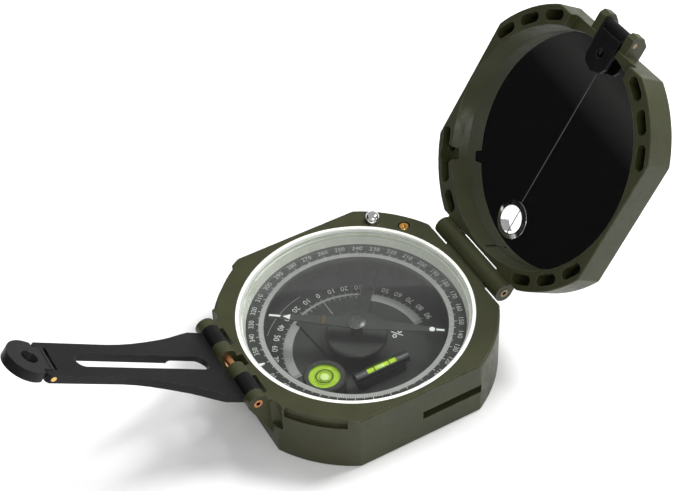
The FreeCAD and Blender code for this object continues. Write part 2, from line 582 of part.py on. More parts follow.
# ---------------------------------------------------------------- needle lift
def make_lift():
    turn = Vector(0, 0, 1)
    button = new_body("lift_pin")
    place(button, x="lift_radius*cos(lift_turn)", y="lift_radius*sin(lift_turn)")
    crown = TOP + " + button_proud"
    skirt = TOP + " - button_well_deep + lift_travel + button_rest"
    foot = LEVER_TOP + " + fit_gap"
    turned(button, "button", [("0", foot), ("stem_radius", foot), ("stem_radius", skirt),
                              ("button_radius", skirt), ("button_radius", crown), ("0", crown)])
    dress(button, "Fillet", "dome", "Radius", "button_round", level(value(crown)))
    lever = new_body("lift_lever")
    place(lever, turn="lift_turn", axis=turn)
    bar = box("0", "lift_radius + lever_end", "-lever_half", "lever_half")
    pad(lever, "bar", bar, LEVER_LOW, LEVER_TOP)
    gap = box("-cut_over", "post_radius + fork_reach", "-" + FORK, FORK)
    pocket(lever, "fork", gap, LEVER_LOW, LEVER_TOP)
    bracket = new_body("lever_bracket")
    place(bracket, turn="lift_turn", axis=turn)
    low, high = "fulcrum_radius - bracket_half", "fulcrum_radius + bracket_half"
    for name, sign in (("cheek_a", ""), ("cheek_b", "-")):
        near, far = "(lever_half + run_gap)", "(lever_half + cheek_out)"
        shape = box(low, high, sign + near, sign + far)
        pad(bracket, name, shape, PLATE_TOP, LEVER_TOP + " + cheek_over")
    pin = new_body("fulcrum_pin")
    place(pin, turn="lift_turn", axis=turn)
    half = "(lever_half + cheek_out)"
    bore = circle("fulcrum_pin + pin_ease", x="fulcrum_radius", y=LEVER_MID)
    for body in (lever, bracket):
        pocket(body, "pin_bore", bore, "-" + half, half, plane="XZ_Plane")
    pad(pin, "rod", circle("fulcrum_pin", x="fulcrum_radius", y=LEVER_MID), "-" + half, half,
        plane="XZ_Plane")
    collar = new_body("lift_collar")
    foot, flange = LEVER_TOP + " + fit_gap", FLANGE_TOP + " - flange_thick"
    turned(collar, "collar", [(FORK, foot), ("collar_radius", foot),
                              ("collar_radius", foot + " + collar_thick"),
                              ("sleeve_radius", foot + " + collar_thick"),
                              ("sleeve_radius", flange), ("flange_radius", flange),
                              ("flange_radius", FLANGE_TOP + " - flange_bevel"),
                              ("flange_radius - flange_bevel", FLANGE_TOP),
                              ("sleeve_radius", FLANGE_TOP), ("sleeve_radius", COLLAR_TOP),
                              (FORK, COLLAR_TOP)])


# ---------------------------------------------------------------- lid
def make_lid():
    body = new_body("lid_shell")
    place(body, y=LID_HINGE_Y, z=LID_HINGE_Z, turn="-lid_open")
    middle = "-" + LID_HINGE_Y
    half_x, half_y = "(case_width/2)", "(case_length/2)"
    pad(body, "shell", outline(half_x, half_y, CORNER), LID_RIM, LID_BACK, along=middle)
    dress(body, "Fillet", "corners", "Radius", "corner_round", upright)
    dress(body, "Chamfer", "back_bevel", "Size", "lid_bevel", level(value(LID_BACK)))
    dress(body, "Chamfer", "rim_bevel", "Size", "rim_bevel", level(value(LID_RIM)))
    # knuckles at both ends of the hinge
    spans = (("lid_middle_half + side_gap", "knuckle_half"),
             ("-knuckle_half", "-lid_middle_half - side_gap"))
    web = box("-hinge_out - cut_over", "0", LID_RIM, "knuckle_radius")
    for number, (low, high) in enumerate(spans):
        pad(body, "web_%d" % number, web, low, high, plane="YZ_Plane")
        pad(body, "knuckle_%d" % number, circle("knuckle_radius"), low, high, plane="YZ_Plane")
    # lugs of the front sight and the block behind them
    root, tip = "-%s + cut_over" % LID_END, "-%s - lug_reach" % SIGHT_Y
    back = LID_BACK + " - lug_inset"
    lug = polygon([(root, "lug_low"), (tip + " + lug_nose", "lug_low"),
                   (tip, "lug_low + lug_nose"), (tip, LID_BACK + " - lug_back"),
                   (tip + " + lug_slope", back), (root, back)])
    for name, low, high in (("lug_right", "lug_inner", "lug_outer"),
                            ("lug_left", "-lug_outer", "-lug_inner")):
        pad(body, name, lug, low, high, plane="YZ_Plane")
    block = box("-%s - block_reach" % SIGHT_Y, root, "lug_base_low", back)
    pad(body, "lug_block", block, "-lug_outer", "lug_outer", plane="YZ_Plane")
    make_lid_hollows(body, middle)


def make_lid_hollows(body, middle):
    inner = MIRROR_RADIUS + " + fit_gap"
    back = MIRROR_BACK + " + pad_thick"
    turned(body, "hollow", [("0", LID_RIM), (LID_BORE, LID_RIM), (inner, MIRROR_FACE),
                            (inner, back), ("0", back)], cut=True, at=LID_HINGE_Y)
    # the window goes right through the back
    window = circle("window_radius + window_wall + fit_gap", y="window_place")
    pocket(body, "window_hole", window, "0", LID_BACK, along=middle)
    # three slots in each corner of the rim
    for number in (-1, 0, 1):
        shape = slot("rim_slot_radius", "-rim_slot_half", "rim_slot_half", "rim_slot_wide")
        first = pocket(body, "rim_slot_%d" % (number + 2), shape, LID_RIM, "rim_slot_deep",
                       along=middle, turn="45 + %d*rim_slot_step" % number)
        ring_of(body, "rim_slots_%d" % (number + 2), first, "4")
    # room for the root of the folded arm and for the front sight
    inside, below = "-%s + gate_deep" % LID_END, LID_RIM + " - cut_over"
    gate = box("-%s - cut_over" % LID_END, inside, below, "arm_lift + arm_thick + gate_over")
    half = "(arm_root_half + gate_side)"
    pocket(body, "arm_gate", gate, "-" + half, half, plane="YZ_Plane")
    gate = box("-%s - block_reach" % SIGHT_Y, inside, below, "sight_up + sight_over")
    pocket(body, "sight_gate", gate, "-lug_inner", "lug_inner", plane="YZ_Plane")
    # pocket over the raised lift pin, seen from the lid's underside
    room = circle("button_pocket", x="lift_radius")
    pocket(body, "button_room", room, LID_RIM, "button_proud + button_over", along=middle,
           turn="lift_turn")
    # index notch in the wall at the hinge end
    mouth = LID_BORE + " - notch_inner"
    notch = polygon([("-notch_half", mouth), ("notch_half", mouth),
                     ("0", LID_BORE + " + notch_deep")])
    pocket(body, "wall_notch", notch, LID_RIM + " + notch_low", MIRROR_FACE, along=middle)
    # pin bores
    pocket(body, "pin_bore", circle(PIN_BORE), "-" + BORE_REACH, BORE_REACH, plane="YZ_Plane")
    bore = circle("sight_pin + fit_gap", x="-" + SIGHT_Y, y="sight_up")
    pocket(body, "sight_pin_bore", bore, "-" + BORE_REACH, BORE_REACH, plane="YZ_Plane")


def make_lid_fittings():
    def seated(label):
        body = new_body(label)
        place(body, y=LID_HINGE_Y, z=LID_HINGE_Z, turn="-lid_open")
        return body

    middle = "-" + LID_HINGE_Y
    window = circle("window_radius + window_wall + fit_gap", y="window_place")
    mirror = seated("mirror")
    pad(mirror, "disc", circle(MIRROR_RADIUS), MIRROR_FACE, MIRROR_BACK, along=middle)
    pocket(mirror, "window_hole", window, MIRROR_FACE, MIRROR_BACK, along=middle)
    backing = seated("mirror_pad")
    back = MIRROR_BACK + " + pad_thick"
    pad(backing, "disc", circle(MIRROR_RADIUS + " - pad_inset"), MIRROR_BACK, back, along=middle)
    pocket(backing, "window_hole", window, MIRROR_BACK, back, along=middle)
    line = seated("sight_line")
    low = "-%s + line_inset" % MIRROR_RADIUS
    high = "window_place - window_radius - window_wall - window_lip - line_gap"
    pad(line, "stripe", box("-line_half", "line_half", low, high),
        MIRROR_FACE + " - line_thick", MIRROR_FACE, along=middle)
    tube = seated("window_ring")
    outer = "window_radius + window_wall"
    lip = MIRROR_FACE + " - window_lip_tall"
    edge = outer + " + window_lip"
    turned(tube, "tube", [("window_radius", lip), ("window_radius + window_rim", lip),
                          (edge, MIRROR_FACE + " - lip_edge"), (edge, MIRROR_FACE),
                          (outer, MIRROR_FACE),
                          (outer, LID_BACK), ("window_radius", LID_BACK)],
           at=LID_HINGE_Y + " - window_place")


def rod(label, radius, low, high, x="0", y="0", z="0", hollow=None):
    """A pin along X."""
    body = new_body(label)
    place(body, x=x, y=y, z=z)
    pad(body, "rod", circle(radius), low, high, plane="YZ_Plane")
    if hollow:
        pocket(body, "hollow", circle(hollow), low, high, plane="YZ_Plane")
    return body


# ---------------------------------------------------------------- arm and peep
def make_arm():
    body = new_body("sight_arm")
    place(body, y="-" + LID_HINGE_Y, z=ARM_HINGE_Z, turn="-arm_raise")
    # each pair is a share of the flare's length and the share of its width left there
    flare = ((0.0, 1.0), (0.10, 0.86), (0.22, 0.66), (0.33, 0.50), (0.45, 0.37), (0.58, 0.24),
             (0.72, 0.12), (0.86, 0.04), (1.0, 0.0))
    width = "(arm_half + %s*(arm_root_half - arm_half))"
    place_y = "-(arm_flare_from + %s*arm_flare_long)"
    knuckle_from, knuckle_to = "arm_mid_to + side_gap/2", "arm_end_from - side_gap/2"
    right = [(knuckle_from, "-arm_root"), (knuckle_from, "-arm_shoulder"),
             ("arm_root_half", "-arm_shoulder")]
    right += [(width % share, place_y % along) for along, share in flare]
    right += [("arm_half", "-arm_long + arm_nose"), ("arm_half - arm_nose", "-arm_long"),
              ("fork_half", "-arm_long"), ("fork_half", "-arm_long + fork_deep")]
    left = [("-(%s)" % x, y) for x, y in reversed(right)]
    pad(body, "plate", polygon(right + left), "-arm_thick", "0")
    for number, (low, high) in enumerate(((knuckle_from, knuckle_to),
                                          ("-(%s)" % knuckle_to, "-(%s)" % knuckle_from))):
        pad(body, "knuckle_%d" % number, circle("knuckle_radius"), low, high, plane="YZ_Plane")
    opening = slot("0", "-arm_slot_to + arm_slot_half", "-arm_slot_from - arm_slot_half",
                   "arm_slot_half")
    pocket(body, "sight_slot", opening, "-arm_thick", "0")
    relief = slot("0", "-arm_slot_from - arm_slot_half - relief_long",
                  "-arm_slot_from - arm_slot_half", "arm_slot_half + relief_wide")
    pocket(body, "slot_relief", relief, "-arm_thick", "-arm_thick + relief_deep")
    pocket(body, "pin_bore", circle(PIN_BORE), "-" + BORE_REACH, BORE_REACH, plane="YZ_Plane")
    bore = circle("peep_pin + fit_gap", x="-peep_place", y="-arm_thick/2")
    pocket(body, "peep_bore", bore, "-arm_root_half", "arm_root_half", plane="YZ_Plane")


def on_arm(along, up):
    """Place of a point of the arm, given along it and above its hinge axis."""
    y = "-%s - (%s)*cos(arm_raise) + (%s)*sin(arm_raise)" % (LID_HINGE_Y, along, up)
    z = "%s + (%s)*sin(arm_raise) + (%s)*cos(arm_raise)" % (ARM_HINGE_Z, along, up)
    return y, z


def make_peep():
    body = new_body("peep_sight")
    y, z = on_arm("peep_place", "-arm_thick/2")
    place(body, y=y, z=z, turn="-arm_raise - peep_raise")
    low, high = "arm_thick/2 - peep_thick", "arm_thick/2"
    pad(body, "disc", circle("peep_radius", y="-peep_out"), low, high)
    wide = "(peep_radius + cut_over)"
    pocket(body, "clear", box("-" + wide, wide, "-peep_from", wide), low, high)
    half = "(fork_half - side_gap)"
    tongue = box("-" + half, half, "-peep_from - tongue_lap", "0")
    pad(body, "tongue", tongue, "-peep_barrel", "arm_thick/2")
    pad(body, "barrel", circle("peep_barrel"), "-" + half, half, plane="YZ_Plane")
    below, above = low + " - cut_over", high + " + cut_over"
    turned(body, "sight_hole", [("0", below), ("peep_hole", below),
                                ("peep_hole", low + " + peep_straight"), ("peep_sink", high),
                                ("peep_sink", above), ("0", above)],
           cut=True, at="peep_out")
    pocket(body, "pin_bore", circle("peep_pin + fit_gap"), "-arm_root_half", "arm_root_half",
           plane="YZ_Plane")
    rod("peep_hinge_pin", "peep_pin", "-arm_half + pin_short", "arm_half - pin_short", y=y, z=z)


def on_lid(along, up):
    """Place of a point of the lid, given from its hinge and behind its rim."""
    y = "%s - (%s)*cos(lid_open) + (%s)*sin(lid_open)" % (LID_HINGE_Y, along, up)
    z = "%s + (%s)*sin(lid_open) + (%s)*cos(lid_open)" % (LID_HINGE_Z, along, up)
    return y, z


def make_front_sight():
    body = new_body("front_sight")
    y, z = on_lid(LID_HINGE_Y + " + sight_out", "sight_up")
    place(body, y=y, z=z, turn="-lid_open")
    half = "sight_half"
    side = [(half, "sight_from"), (half, "sight_long - sight_straight"),
            (half + " - sight_step", "sight_long - sight_shoulder"),
            ("sight_step", "sight_long - sight_tip_drop")]
    left = [("-(%s)" % x, along) for x, along in reversed(side)]
    pad(body, "plate", polygon(side + [("0", "sight_long")] + left), "-sight_drop",
        "-sight_drop + sight_thick")
    neck = box("-sight_half", "sight_half", "0", "neck_long")
    pad(body, "neck", neck, "-sight_barrel", "-sight_barrel + sight_thick + neck_over")
    half = "(lug_inner - side_gap)"
    pad(body, "barrel", circle("sight_barrel"), "-" + half, half, plane="YZ_Plane")
    pocket(body, "hole", circle("sight_hole", y="sight_hole_place"), "-sight_drop",
           "-sight_drop + sight_thick")
    pocket(body, "pin_bore", circle("sight_pin + fit_gap"), "-lug_outer", "lug_outer",
           plane="YZ_Plane")
    rod("front_sight_pin", "sight_pin", "-lug_outer + pin_short", "lug_outer - pin_short",
        y=y, z=z)


# ---------------------------------------------------------------- clinometer
def make_clinometer():
    shaft = new_body("clinometer_shaft")
    foot = "recess_depth - foot_gap"
    turned(shaft, "shaft", [("0", "shaft_low"), ("shaft_foot", "shaft_low"),
                            ("shaft_foot", foot), ("shaft_radius", foot),
                            ("shaft_radius", VERNIER_TOP), ("post_radius", VERNIER_TOP),
                            ("post_radius", COLLAR_TOP), ("0", NEEDLE_TOP)])
    hub = cylinder("vernier_hub", "hub_radius", VERNIER_LOW, VERNIER_TOP)
    fan = cylinder("vernier_fan", "fan_radius", VERNIER_LOW, VERNIER_TOP,
                   sweep="2*fan_half", start="180 - fan_half")
    carrier = cylinder("vernier_carrier", "carrier_radius", VERNIER_LOW, VERNIER_TOP,
                       sweep="carrier_from + carrier_to", start="-carrier_from")
    bore = cylinder("vernier_bore", "shaft_radius", VERNIER_LOW + " - cut_over",
                    VERNIER_TOP + " + cut_over")
    skirt = new_body("vernier_skirt")
    shape = polygon([("0", "0"), ("-skirt_x", "-skirt_y"), ("0", "-hub_radius")])
    pad(skirt, "skirt", shape, VERNIER_LOW, VERNIER_TOP)
    cut("vernier_plate", fuse("vernier_blank", [hub, fan, carrier, skirt]), bore)
    # tube level: a tube on a block, with a window over the vial
    holder = new_body("tube_level_holder")
    axis_z = VERNIER_TOP + " + tube_up"
    half = "tube_half_long"
    block = box("tube_x - holder_half_wide", "tube_x + holder_half_wide",
                "-holder_half_long", "holder_half_long")
    pad(holder, "block", block, VERNIER_TOP, axis_z)
    pad(holder, "tube", circle("tube_radius", x="tube_x", y=axis_z), "-" + half, half,
        plane="XZ_Plane")
    half = "(vial_half_long + run_gap)"
    pocket(holder, "trough", circle("vial_radius + run_gap", x="tube_x", y=axis_z), "-" + half,
           half, plane="XZ_Plane")
    window = box("tube_x - window_half", "tube_x + window_half", "-tube_window", "tube_window")
    pocket(holder, "window", window, axis_z, axis_z + " + tube_radius")
    vial = new_body("tube_level_vial")
    pad(vial, "vial", circle("vial_radius", x="tube_x", y=axis_z), "-vial_half_long",
        "vial_half_long", plane="XZ_Plane")
    # round level: cup, spirit and lens
    x, y = "cup_place*cos(cup_turn)", "-cup_place*sin(cup_turn)"
    cup = new_body("round_level_cup")
    place(cup, x=x, y=y)
    floor, rim = VERNIER_TOP + " + cup_floor", VERNIER_TOP + " + cup_tall"
    inside = "spirit_radius + fit_gap"
    turned(cup, "cup", [("0", VERNIER_TOP), ("cup_radius", VERNIER_TOP),
                        ("cup_radius", rim + " - cup_edge"), ("cup_radius - cup_edge", rim),
                        (inside, rim), (inside, floor), ("0", floor)])
    spirit = new_body("round_level_spirit")
    place(spirit, x=x, y=y)
    spirit_top = rim + " - lens_sink - lens_thick"
    pad(spirit, "spirit", circle("spirit_radius"), floor, spirit_top)
    lens = new_body("round_level_lens")
    place(lens, x=x, y=y)
    pad(lens, "lens", circle("spirit_radius"), spirit_top, rim + " - lens_sink")
    # lever on the underside with its nut
    lever = new_body("rear_lever")
    lever_low, lever_top = foot + " - rear_thick", foot
    pad(lever, "boss", circle("rear_boss"), lever_low, lever_top)
    arm = slot("0", "0", "rear_long", "rear_half")
    pad(lever, "arm", arm, lever_low, lever_top)
    pocket(lever, "bore", circle("shaft_foot"), lever_low, lever_top)
    nut = new_body("rear_nut")
    pad(nut, "disc", circle("nut_radius"), lever_low + " - nut_tall", lever_low)
    pocket(nut, "bore", circle("shaft_foot"), lever_low + " - nut_tall", lever_low)


# ---------------------------------------------------------------- needle
def make_needle():
    def pivoted(label):
        body = new_body(label)
        place(body, turn="needle_turn", axis=Vector(0, 0, 1))
        return body

    blade = pivoted("needle_blade")
    half = [("-needle_long", "-needle_tip_half"), ("-cap_radius", "-needle_half"),
            ("cap_radius", "-needle_half"), ("needle_long", "-needle_tip_half")]
    other = [(x, y[1:]) for x, y in reversed(half)]
    pad(blade, "blade", polygon(half + other), NEEDLE_LOW, NEEDLE_TOP)
    jewel = "%s + jewel_wall" % FORK
    pocket(blade, "eye", circle(jewel + " + fit_gap"), NEEDLE_LOW, NEEDLE_TOP)
    cap = pivoted("needle_cap")
    turned(cap, "cap", [("0", NEEDLE_TOP), ("cap_radius", NEEDLE_TOP),
                        ("cap_radius", NEEDLE_TOP + " + cap_wall"),
                        ("cap_crown", NEEDLE_TOP + " + 2*cap_wall"),
                        ("0", NEEDLE_TOP + " + cap_tall")])
    seat = pivoted("needle_jewel")
    foot = COLLAR_TOP + " + run_gap"
    turned(seat, "jewel", [(FORK, foot), (jewel, foot), (jewel, NEEDLE_TOP),
                           ("jewel_hole", NEEDLE_TOP), ("jewel_hole", NEEDLE_TOP + " - jewel_lip"),
                           (FORK, NEEDLE_LOW)])
    weight = pivoted("needle_weight")
    clamp = box("weight_place - weight_half", "weight_place + weight_half", "-weight_wide",
                "weight_wide")
    pad(weight, "lower_strip", clamp, NEEDLE_LOW + " - weight_thick", NEEDLE_LOW)
    pad(weight, "upper_strip", clamp, NEEDLE_TOP, NEEDLE_TOP + " + weight_thick")
    north = pivoted("north_mark")
    top = NEEDLE_TOP + " + mark_thick"
    bar = box("needle_long - north_bar_from", "needle_long - mark_end", "-mark_half", "mark_half")
    pad(north, "bar", bar, NEEDLE_TOP, top)
    arrow = polygon([("needle_long - arrow_tip", "0"), ("needle_long - arrow_back", "arrow_half"),
                     ("needle_long - arrow_back", "-arrow_half")])
    pad(north, "arrow", arrow, NEEDLE_TOP, top)
    south = pivoted("south_mark")
    bar = box("-needle_long + mark_end", "-needle_long + south_bar_from", "-mark_half",
              "mark_half")
    pad(south, "bar", bar, NEEDLE_TOP, top)
    pad(south, "dot", circle("south_dot", x="-needle_long + south_dot_place"), NEEDLE_TOP, top)


# ---------------------------------------------------------------- build and export
make_grips(make_case())
make_bezel()
make_graduated_ring()
make_pinion()
make_dial_plate()
make_lift()
make_clinometer()
make_needle()
make_lid()
make_lid_fittings()
make_front_sight()
make_arm()
make_peep()
rod("lid_hinge_pin", "pin_radius", "-knuckle_half - pin_proud", "knuckle_half + pin_proud",
    y=LID_HINGE_Y, z=LID_HINGE_Z, hollow="pin_hollow")
rod("arm_hinge_pin", "pin_radius", "-knuckle_half - pin_proud", "knuckle_half + pin_proud",
    y="-" + LID_HINGE_Y, z=ARM_HINGE_Z, hollow="pin_hollow")
doc.recompute()

for thing in doc.Objects:
    if {"Invalid", "Error"} & set(thing.State):
        raise RuntimeError("%s did not build: %s" % (thing.Label, thing.State))

NODES = ["case_body", "bezel_ring", "lubber_index", "crystal", "crystal_gasket", "graduated_ring",
         "pinion_gear", "declination_screw", "dial_plate", "dial_screws", "lever_bracket",
         "fulcrum_pin", "lift_pin", "lift_lever", "lift_collar", "clinometer_shaft", "vernier_plate",
         "tube_level_holder", "tube_level_vial", "round_level_cup", "round_level_spirit",
         "round_level_lens", "rear_lever", "rear_nut", "needle_blade", "needle_cap",
         "needle_jewel", "needle_weight", "north_mark", "south_mark", "lid_shell", "mirror",
         "mirror_pad", "sight_line", "window_ring", "front_sight", "front_sight_pin",
         "sight_arm", "peep_sight", "peep_hinge_pin", "lid_hinge_pin", "arm_hinge_pin"]
os.makedirs("parts", exist_ok=True)
for label in NODES:
    shape = doc.getObjectsByLabel(label)[0].Shape
    if shape.isNull() or not shape.isValid():
        raise RuntimeError("%s has no sound shape" % label)
    shape.exportStep("parts/%s.step" % label)
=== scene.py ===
import json
import math

import bmesh
import bpy
from mathutils import Matrix, Vector


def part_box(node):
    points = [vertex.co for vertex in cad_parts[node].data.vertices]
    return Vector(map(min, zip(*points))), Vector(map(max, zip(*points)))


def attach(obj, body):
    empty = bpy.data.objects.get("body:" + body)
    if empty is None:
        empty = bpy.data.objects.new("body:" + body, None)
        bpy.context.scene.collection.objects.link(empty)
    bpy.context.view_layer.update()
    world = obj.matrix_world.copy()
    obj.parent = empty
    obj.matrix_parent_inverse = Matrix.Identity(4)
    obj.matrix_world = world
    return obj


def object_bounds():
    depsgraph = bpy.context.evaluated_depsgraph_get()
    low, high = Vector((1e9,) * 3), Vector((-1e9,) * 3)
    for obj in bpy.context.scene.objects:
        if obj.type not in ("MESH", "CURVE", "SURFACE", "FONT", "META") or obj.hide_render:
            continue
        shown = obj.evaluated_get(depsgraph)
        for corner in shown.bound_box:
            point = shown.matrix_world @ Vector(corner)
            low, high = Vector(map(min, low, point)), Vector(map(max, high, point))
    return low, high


# The looks of a folding sighting compass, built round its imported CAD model. Metres.
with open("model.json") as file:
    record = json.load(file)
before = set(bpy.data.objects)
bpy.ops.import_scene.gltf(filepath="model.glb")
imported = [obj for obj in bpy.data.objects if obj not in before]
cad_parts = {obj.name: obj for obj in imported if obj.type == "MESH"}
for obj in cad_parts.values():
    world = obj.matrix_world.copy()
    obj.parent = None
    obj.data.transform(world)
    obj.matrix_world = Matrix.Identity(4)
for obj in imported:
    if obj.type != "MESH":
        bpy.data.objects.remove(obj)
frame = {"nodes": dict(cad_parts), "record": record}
CAD_LOW, CAD_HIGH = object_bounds()
MM = 0.001
NODES = frame["nodes"]


# ---------------------------------------------------------------- places read from the frame
def top_of(node):
    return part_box(node)[1].z


RING_TOP = top_of("graduated_ring")
PLATE_TOP = top_of("dial_plate")
VERNIER_TOP = top_of("vernier_plate")
LENS_LOW, LENS_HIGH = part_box("round_level_lens")
LENS_MIDDLE = (LENS_LOW + LENS_HIGH) / 2
VIAL_LOW, VIAL_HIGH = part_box("tube_level_vial")
VIAL_MIDDLE = (VIAL_LOW + VIAL_HIGH) / 2


# ---------------------------------------------------------------- materials
class Nodes:
    """A short way to lay out a material's nodes."""

    def __init__(self, name):
        self.material = bpy.data.materials.new(name)
        self.material.use_nodes = True
        self.tree = self.material.node_tree
        self.shader = self.tree.nodes["Principled BSDF"]
        self.place = self.add("ShaderNodeTexCoord").outputs["Object"]

    def add(self, kind, **values):
        node = self.tree.nodes.new(kind)
        for key, setting in values.items():
            setattr(node, key, setting)
        return node

    def link(self, out, into):
        self.tree.links.new(out, into)

    def noise(self, size, detail=3.0, stretch=(1, 1, 1), roughness=0.55):
        """Noise whose grain is about size metres across."""
        mapping = self.add("ShaderNodeMapping")
        mapping.inputs["Scale"].default_value = stretch
        self.link(self.place, mapping.inputs["Vector"])
        node = self.add("ShaderNodeTexNoise")
        node.inputs["Scale"].default_value = 1 / size
        node.inputs["Detail"].default_value = detail
        node.inputs["Roughness"].default_value = roughness
        self.link(mapping.outputs["Vector"], node.inputs["Vector"])
        return node.outputs["Fac"]

    def ramp(self, fac, stops):
        node = self.add("ShaderNodeValToRGB")
        elements = node.color_ramp.elements
        while len(elements) < len(stops):
            elements.new(0.5)
        for element, (position, colour) in zip(elements, stops):
            element.position = position
            element.color = (*colour, 1)
        self.link(fac, node.inputs["Fac"])
        return node.outputs["Color"]

    def spread(self, fac, low, high, start=0.3, end=0.7):
        """The noise stretched to run from low to high."""
        node = self.add("ShaderNodeMapRange")
        for key, setting in (("From Min", start), ("From Max", end), ("To Min", low),
                             ("To Max", high)):
            node.inputs[key].default_value = setting
        self.link(fac, node.inputs["Value"])
        return node.outputs["Result"]

    def mix(self, fac, first, second):
        node = self.add("ShaderNodeMix", data_type="RGBA")
        self.link(fac, node.inputs["Factor"])
        for socket, colour in ((node.inputs[6], first), (node.inputs[7], second)):
            if isinstance(colour, tuple):
                socket.default_value = (*colour, 1)
            else:
                self.link(colour, socket)
        return node.outputs[2]

    def product(self, first, second):
        node = self.add("ShaderNodeMath", operation="MULTIPLY")
        self.link(first, node.inputs[0])
        self.link(second, node.inputs[1])
        return node.outputs[0]

    def edges(self, radius):
        """Rounded normals and a mask that is 1 along the edges."""
        bevel = self.add("ShaderNodeBevel", samples=4)
        bevel.inputs["Radius"].default_value = radius
        geometry = self.add("ShaderNodeNewGeometry")
        dot = self.add("ShaderNodeVectorMath", operation="DOT_PRODUCT")
        self.link(bevel.outputs["Normal"], dot.inputs[0])
        self.link(geometry.outputs["Normal"], dot.inputs[1])
        return bevel.outputs["Normal"], self.spread(dot.outputs["Value"], 1, 0, 0.88, 0.985)

    def bump(self, height, strength, distance, normal=None):
        node = self.add("ShaderNodeBump")
        node.inputs["Strength"].default_value = strength
        node.inputs["Distance"].default_value = distance
        self.link(height, node.inputs["Height"])
        if normal is not None:
            self.link(normal, node.inputs["Normal"])
        self.link(node.outputs["Normal"], self.shader.inputs["Normal"])


def tinted(colour, share):
    return tuple(min(1.0, channel * share) for channel in colour)


def paint(name, colour, rough, wear, grain=0.35, round_edge=0.25, specular=0.5):
    """Sprayed metal: slight orange peel, cloudy colour and rubbed edges."""
    made = Nodes(name)
    cloud = made.noise(9 * MM, 4)
    speck = made.noise(0.5 * MM, 2)
    base = made.ramp(cloud, ((0.25, tinted(colour, 0.86)), (0.75, tinted(colour, 1.16))))
    speckled = made.mix(made.spread(speck, 0, 0.35, 0.55, 0.75), base, tinted(colour, 1.5))
    normal, edge = made.edges(round_edge * MM)
    rubbed = made.product(edge, made.spread(made.noise(1.6 * MM, 5), 0.1, 1, 0.42, 0.62))
    made.link(made.mix(rubbed, speckled, wear), made.shader.inputs["Base Color"])
    made.link(made.spread(made.noise(2.5 * MM, 4), rough - 0.06, rough + 0.08),
              made.shader.inputs["Roughness"])
    made.shader.inputs["Specular IOR Level"].default_value = specular
    made.bump(made.noise(grain * MM, 3), 0.10, 0.05 * MM, normal)
    return made.material


def metal(name, colour, rough, streak=(1, 1, 1), grain=0.25, dull=0.8):
    """Bare turned or brushed metal with light tarnish."""
    made = Nodes(name)
    cloud = made.noise(1.8 * MM, 4)
    made.link(made.ramp(cloud, ((0.3, tinted(colour, dull)), (0.7, colour))),
              made.shader.inputs["Base Color"])
    made.shader.inputs["Metallic"].default_value = 1.0
    lines = made.noise(grain * MM, 2, streak)
    made.link(made.spread(lines, rough * 0.75, rough * 1.4), made.shader.inputs["Roughness"])
    made.bump(lines, 0.12, 0.02 * MM)
    return made.material


def plastic(name, colour, rough, variation=0.12, bump=0.08, coat=0.0, grain=0.4, specular=0.5,
            painted_glow=0.0):
    """Moulded or printed surface with faint unevenness, and an even painted glow when asked
    for.
    """
    made = Nodes(name)
    cloud = made.noise(6 * MM, 4)
    low, high = tinted(colour, 1 - variation), tinted(colour, 1 + variation)
    made.link(made.ramp(cloud, ((0.25, low), (0.75, high))), made.shader.inputs["Base Color"])
    made.link(made.spread(made.noise(1.5 * MM, 3), rough * 0.85, rough * 1.2),
              made.shader.inputs["Roughness"])
    made.shader.inputs["Coat Weight"].default_value = coat
    made.shader.inputs["Specular IOR Level"].default_value = specular
    # emission in the surface's own colour is a painted glow, no lamp
    made.shader.inputs["Emission Color"].default_value = (*colour, 1)
    made.shader.inputs["Emission Strength"].default_value = painted_glow
    made.bump(made.noise(grain * MM, 3), bump, 0.03 * MM)
    return made.material


def clear(name, colour, share, rough=0.03):
    """Glass that shows what is under it, with a faint reflection and smudges."""
    made = Nodes(name)
    through = made.add("ShaderNodeBsdfTransparent")
    haze = made.noise(7 * MM, 4)
    made.link(made.ramp(haze, ((0.3, tinted(colour, 0.97)), (0.7, colour))),
              through.inputs["Color"])
    gloss = made.add("ShaderNodeBsdfGlossy")
    made.link(made.spread(made.noise(3 * MM, 4), rough * 0.5, rough * 2.5),
              gloss.inputs["Roughness"])
    fresnel = made.add("ShaderNodeFresnel")
    fresnel.inputs["IOR"].default_value = 1.45
    fade = made.add("ShaderNodeMath", operation="MULTIPLY")
    made.link(fresnel.outputs["Fac"], fade.inputs[0])
    fade.inputs[1].default_value = share
    both = made.add("ShaderNodeMixShader")
    made.link(fade.outputs[0], both.inputs["Fac"])
    made.link(through.outputs[0], both.inputs[1])
    made.link(gloss.outputs[0], both.inputs[2])
    made.tree.nodes.remove(made.shader)
    made.link(both.outputs[0], made.tree.nodes["Material Output"].inputs["Surface"])
    return made.material


def spirit(name, colour, darker_tone, painted_glow):
    """Dyed level liquid whose tone varies at random, with a painted glow: emission in the same
    colours.
    """
    made = Nodes(name)
    shade = made.ramp(made.noise(2.2 * MM, 3), ((0.3, darker_tone), (0.7, colour)))
    made.link(shade, made.shader.inputs["Base Color"])
    # painted glow: the liquid's colours are also emitted, so it shines brighter than the lamps
    # make it
    made.link(shade, made.shader.inputs["Emission Color"])
    made.shader.inputs["Emission Strength"].default_value = painted_glow
    made.link(made.spread(made.noise(1.5 * MM, 2), 0.12, 0.22), made.shader.inputs["Roughness"])
    made.shader.inputs["Coat Weight"].default_value = 0.6
    return made.material


def looking_glass(name):
    """Silvered glass with faint dust."""
    made = Nodes(name)
    dust = made.spread(made.noise(0.7 * MM, 5), 0, 1, 0.66, 0.8)
    made.link(made.mix(dust, (0.80, 0.82, 0.82), (0.70, 0.71, 0.70)),
              made.shader.inputs["Base Color"])
    made.link(made.spread(dust, 0.015, 0.10, 0, 1), made.shader.inputs["Roughness"])
    made.shader.inputs["Metallic"].default_value = 1.0
    return made.material


